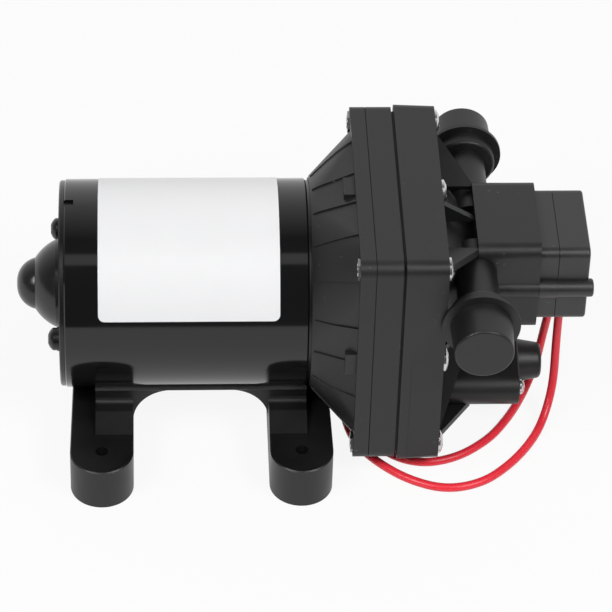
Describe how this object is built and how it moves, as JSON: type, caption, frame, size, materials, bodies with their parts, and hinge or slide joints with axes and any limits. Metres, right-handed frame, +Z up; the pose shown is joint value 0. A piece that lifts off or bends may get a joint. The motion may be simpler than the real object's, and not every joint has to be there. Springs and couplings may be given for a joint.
{
  "type": "diaphragm water pump",
  "caption": "Caravan water pump: black motor on a rubber footed saddle, square three-chamber diaphragm head with two side ports, pressure switch and bypass, two red leads.",
  "frame": {"origin": "centre of the four foot holes, on the underside of the feet", "axes": "+X from the motor's rear towards the pump head and switch, +Y towards the far port, +Z up"},
  "size_m": [0.2084, 0.1363, 0.1028],
  "materials": {
    "can_black": "glossy black paint",
    "label": "glossy film",
    "plastic_dark": "moulded satin",
    "base_rubber": "moulded matt",
    "black_steel": "black oxide",
    "bright_steel": "zinc plated",
    "rubber_black": "matt",
    "copper": "enamelled wire",
    "core_steel": "laminated",
    "ferrite": "sintered",
    "carbon": "sintered",
    "card": "pressed board",
    "cap_plastic": "soft moulded",
    "wire_red": "extruded gloss",
    "button_red": "moulded",
    "valve_rubber": "matt",
    "clamp_white": "moulded"
  },
  "bodies": {
    "pump": {"motor_can": "can_black", "motor_label": "label", "mounting_base": "base_rubber", "rear_end_cap": "black_steel", "wire_boot": "rubber_black", "through_bolts": "black_steel", "rear_bearing": "bright_steel", "front_bearing": "bright_steel", "front_plate": "black_steel", "magnets": "ferrite", "brush_card": "card", "adapter_housing": "plastic_dark", "middle_housing": "plastic_dark", "diaphragm": "valve_rubber", "valve_plate": "clamp_white", "inlet_valves": "valve_rubber", "outlet_valve": "valve_rubber", "upper_housing": "plastic_dark", "head_screws": "bright_steel", "corner_nuts": "bright_steel", "switch_diaphragm": "valve_rubber", "switch_body": "plastic_dark", "switch_cover": "plastic_dark", "switch_screws": "black_steel", "microswitch": "plastic_dark", "bypass_cover": "plastic_dark", "bypass_knob": "rubber_black", "bypass_screws": "bright_steel", "wire_a": "wire_red", "wire_b": "wire_red", "brush_spring_upper": "bright_steel", "brush_spring_lower": "bright_steel", "switch_spring": "bright_steel", "bypass_spring": "bright_steel"},
    "rotor": {"rotor_shaft": "bright_steel", "armature_core": "core_steel", "armature_windings": "copper", "commutator": "copper", "eccentric_cam": "bright_steel"},
    "wobble": {"wobble_plate": "clamp_white", "cam_bearing": "bright_steel", "piston_clamps": "clamp_white"},
    "brush_up": {"brush_upper": "carbon"},
    "brush_down": {"brush_lower": "carbon"},
    "plunger": {"switch_plunger": "clamp_white"},
    "button": {"micro_button": "button_red"},
    "adjuster": {"adjusting_screw": "black_steel"},
    "poppet": {"bypass_poppet": "clamp_white"},
    "near_cap": {"near_port_cap": "cap_plastic"},
    "far_cap": {"far_port_cap": "cap_plastic"}
  },
  "joints": [
    {"name": "rotor_spin", "type": "hinge", "parent": "pump", "child": "rotor", "pos_m": [0, 0, 0.0555], "axis": [1, 0, 0], "continuous": true},
    {"name": "wobble_nutation", "type": "hinge", "parent": "rotor", "child": "wobble", "pos_m": [0.05495, 0, 0.0555], "axis": [0.9986, 0, -0.0523], "continuous": true, "deforming": ["diaphragm"]},
    {"name": "brush_upper_slide", "type": "slide", "parent": "pump", "child": "brush_up", "axis": [0, 0, 1], "range_m": [0, 0.004], "stiffness_N_per_m": 180, "springref_m": -0.003, "deforming": ["brush_spring_upper"]},
    {"name": "brush_lower_slide", "type": "slide", "parent": "pump", "child": "brush_down", "axis": [0, 0, -1], "range_m": [0, 0.004], "stiffness_N_per_m": 180, "springref_m": -0.003, "deforming": ["brush_spring_lower"]},
    {"name": "switch_plunger_slide", "type": "slide", "parent": "pump", "child": "plunger", "axis": [1, 0, 0], "range_m": [0, 0.0008], "stiffness_N_per_m": 9000, "springref_m": -0.0004, "deforming": ["switch_spring"]},
    {"name": "micro_button_slide", "type": "slide", "parent": "pump", "child": "button", "axis": [1, 0, 0], "range_m": [0, 0.0008]},
    {"name": "adjusting_screw_turn", "type": "hinge", "parent": "pump", "child": "adjuster", "pos_m": [0.1377, 0, 0.0735], "axis": [1, 0, 0], "range_deg": [-180, 180]},
    {"name": "bypass_poppet_lift", "type": "slide", "parent": "pump", "child": "poppet", "axis": [1, 0, 0], "range_m": [0, 0.002], "stiffness_N_per_m": 2500, "springref_m": -0.002, "deforming": ["bypass_spring"]},
    {"name": "near_cap_pull", "type": "slide", "parent": "pump", "child": "near_cap", "axis": [0, -1, 0], "range_m": [0, 0.03]},
    {"name": "far_cap_pull", "type": "slide", "parent": "pump", "child": "far_cap", "axis": [0, 1, 0], "range_m": [0, 0.03]}
  ],
  "couplings": [
    {"joint": "wobble_nutation", "follows": "rotor_spin", "ratio": -1},
    {"joint": "micro_button_slide", "follows": "switch_plunger_slide", "ratio": 1}
  ]
}
